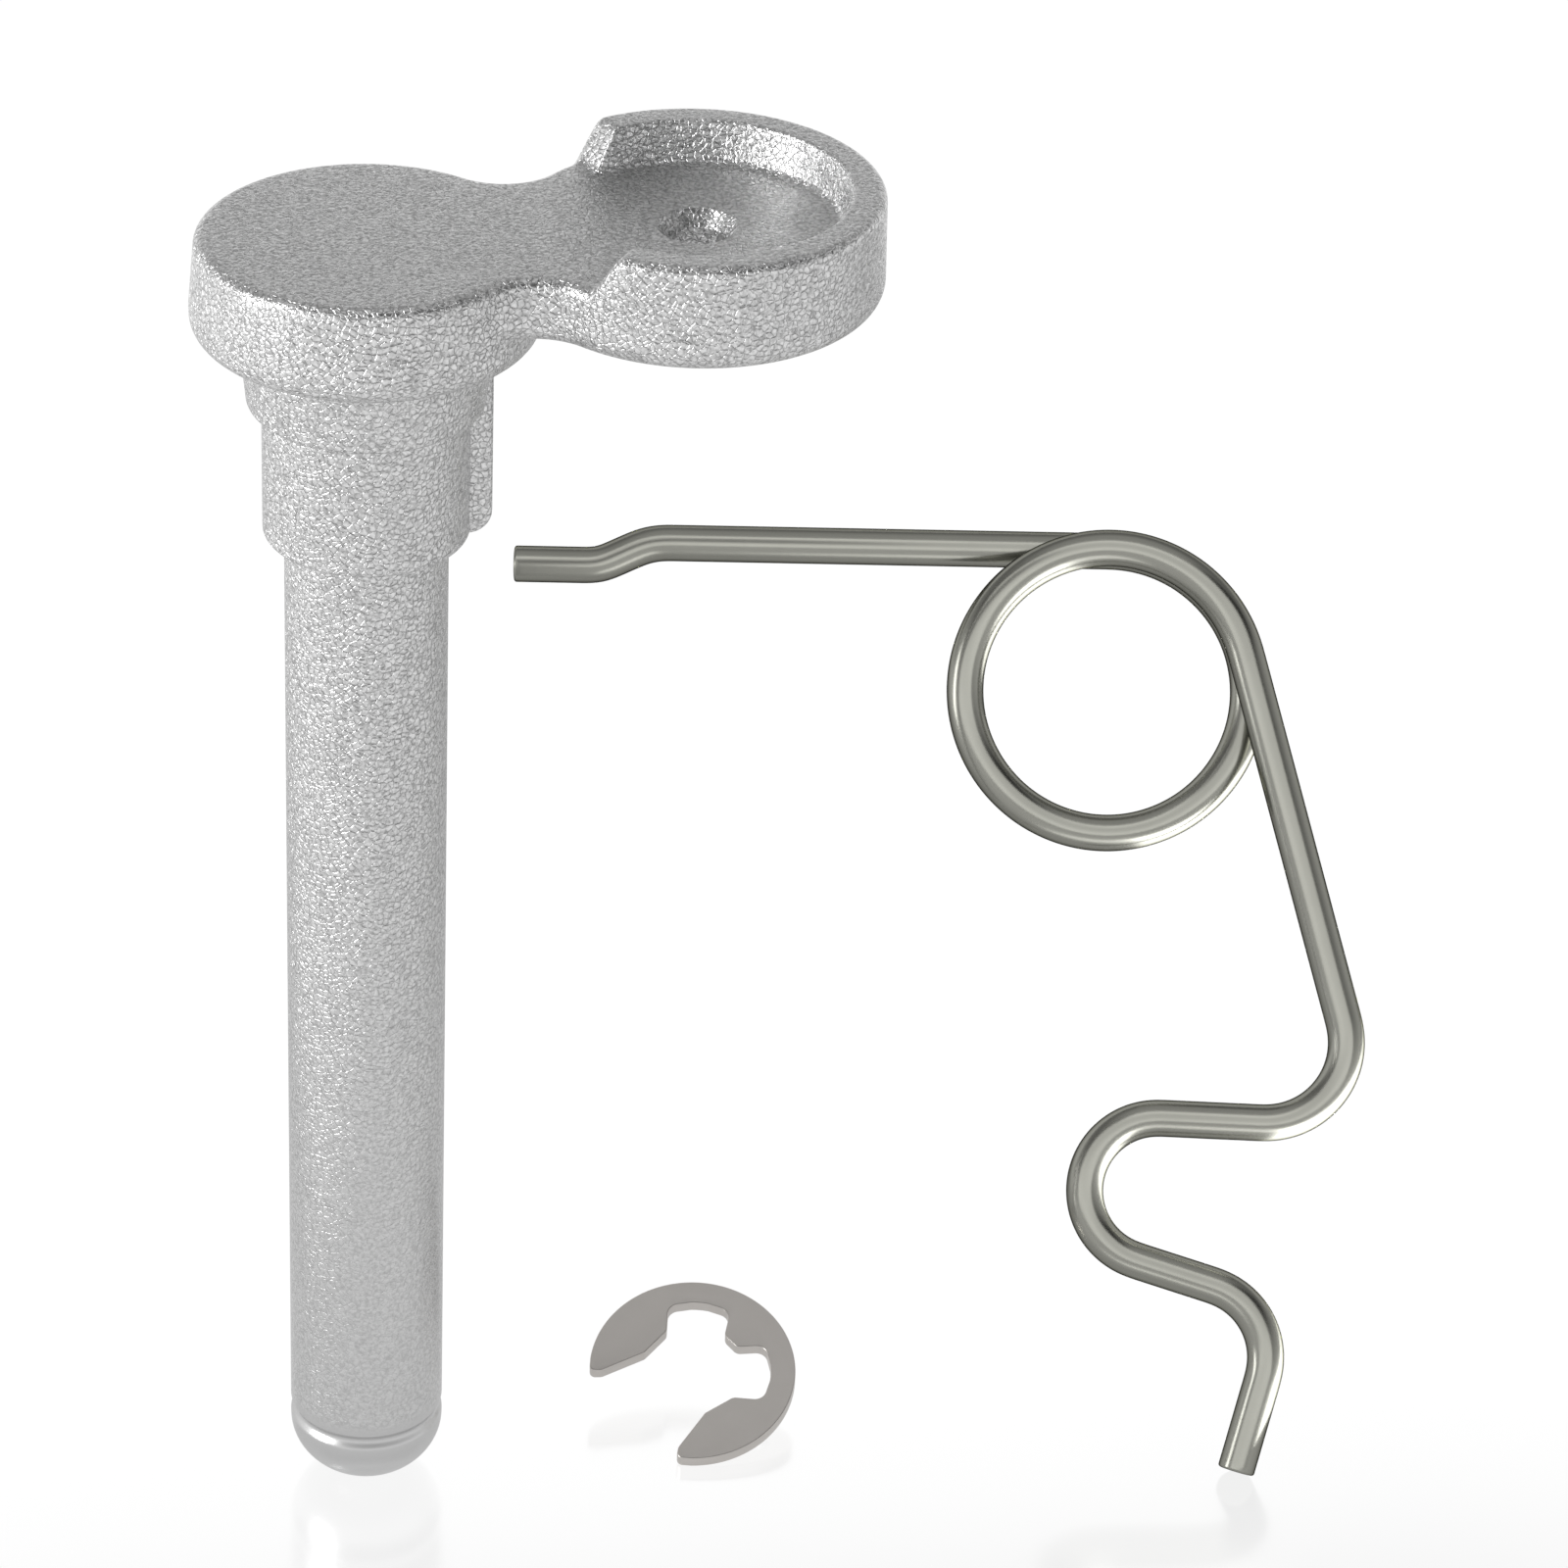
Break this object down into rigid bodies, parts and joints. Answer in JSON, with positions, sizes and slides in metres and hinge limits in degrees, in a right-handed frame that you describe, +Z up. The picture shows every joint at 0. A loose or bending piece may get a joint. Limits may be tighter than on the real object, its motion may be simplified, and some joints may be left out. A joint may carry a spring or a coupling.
{
  "type": "hitch pin lock",
  "caption": "Cast hitch pin with a domed shank, stepped collar, flat head and cupped side arm, with its loose wire torsion spring and E-clip.",
  "frame": {"origin": "the lowest point of the shank's domed tip, on the pin's axis", "axes": "+Z up the pin's axis to its head, +X along the arm to the cup, and the loose spring and clip lie beside the shank on the side of the arm"},
  "size_m": [0.1494, 0.0943, 0.178],
  "materials": {
    "cast_metal": "bright plated casting with a fine blasted grain",
    "spring_steel": "smooth drawn wire, nearly polished",
    "clip_steel": "flat satin strip with bright cut edges"
  },
  "bodies": {
    "pin": {"pin_casting": "cast_metal"},
    "spring": {"spring_coil": "spring_steel"},
    "spring_leg": {"spring_long_leg": "spring_steel"},
    "clip": {"e_clip": "clip_steel"}
  },
  "joints": [
    {"name": "spring_lift", "type": "slide", "parent": "pin", "child": "spring", "axis": [-0.1638, -0.8196, 0.549], "range_m": [0, 0.04]},
    {"name": "spring_flex", "type": "hinge", "parent": "spring", "child": "spring_leg", "pos_m": [0.0996, 0.0457, 0.08212], "axis": [0.1638, 0.8196, -0.549], "range_deg": [0, 24], "stiffness_Nm_per_rad": 28},
    {"name": "clip_slide", "type": "slide", "parent": "pin", "child": "clip", "axis": [0.8202, 0.5134, 0.2523], "range_m": [0, 0.03]}
  ]
}
